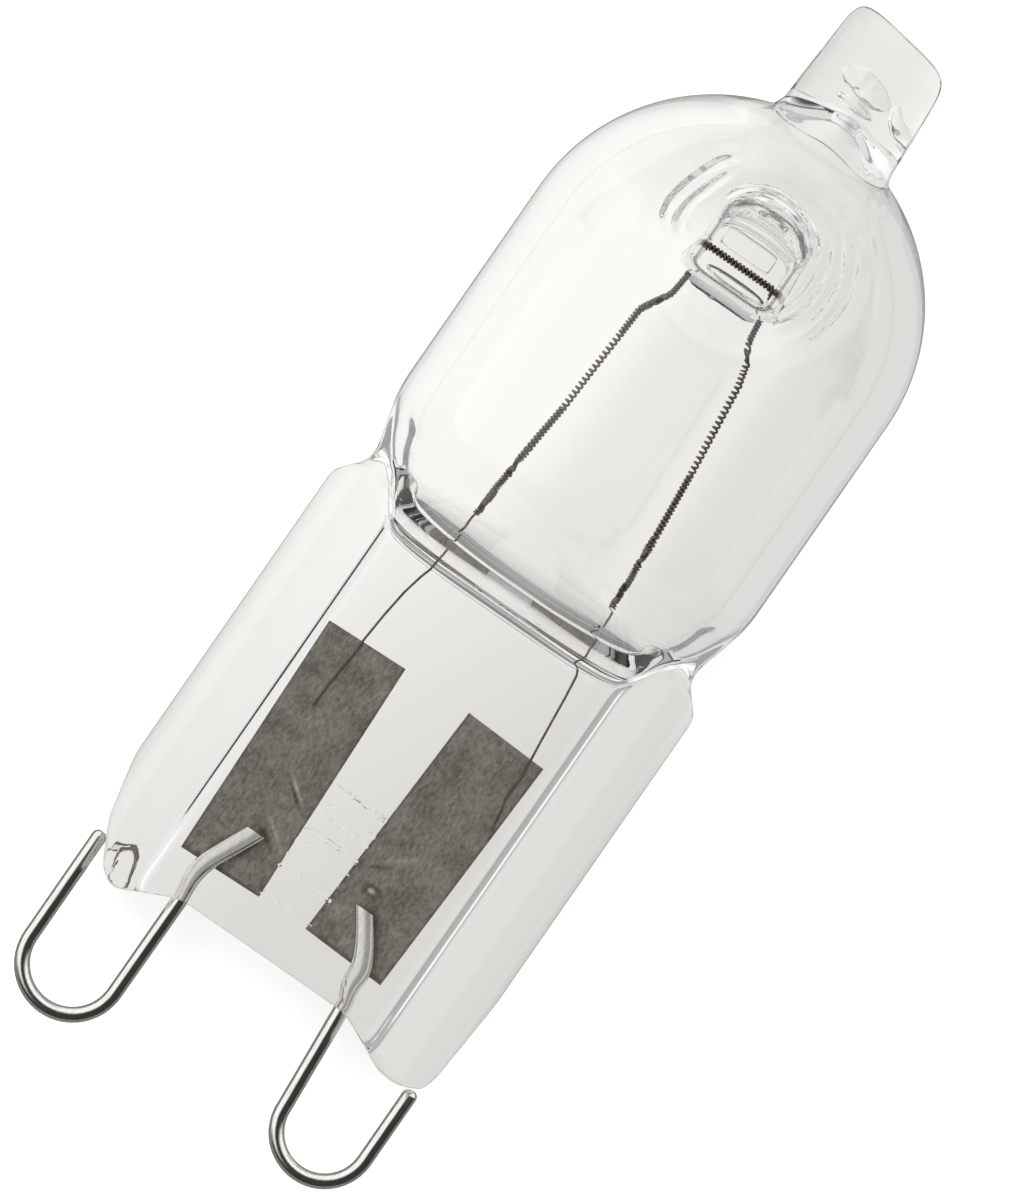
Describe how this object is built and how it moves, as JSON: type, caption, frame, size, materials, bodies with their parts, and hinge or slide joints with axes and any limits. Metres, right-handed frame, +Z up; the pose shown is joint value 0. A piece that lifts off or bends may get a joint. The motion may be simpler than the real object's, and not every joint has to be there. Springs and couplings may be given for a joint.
{
  "type": "halogen capsule bulb",
  "caption": "Clear quartz halogen capsule with a flat pinch seal, exhaust tip, clamped coil filament, sealing foils and two looped wire contact pins.",
  "frame": {"origin": "on the surface that the lamp lies on, under the middle of its bounding box", "axes": "+Z up; +Y along the lamp from the contact loops towards the exhaust tip, with the tip raised by 14 degrees as the lamp lies; +X across the pinch from the left pin to the right pin"},
  "size_m": [0.0144, 0.0418, 0.0153],
  "materials": {
    "quartz_glass": "clear, fire polished",
    "sealing_foil": "satin grey foil with fine lengthwise etching",
    "pin_wire": "drawn wire, bright",
    "filament_wire": "dark grey drawn wire"
  },
  "bodies": {
    "root": {"envelope": "quartz_glass", "left_foil": "sealing_foil", "right_foil": "sealing_foil", "left_pin": "pin_wire", "right_pin": "pin_wire", "filament": "filament_wire"}
  },
  "joints": []
}
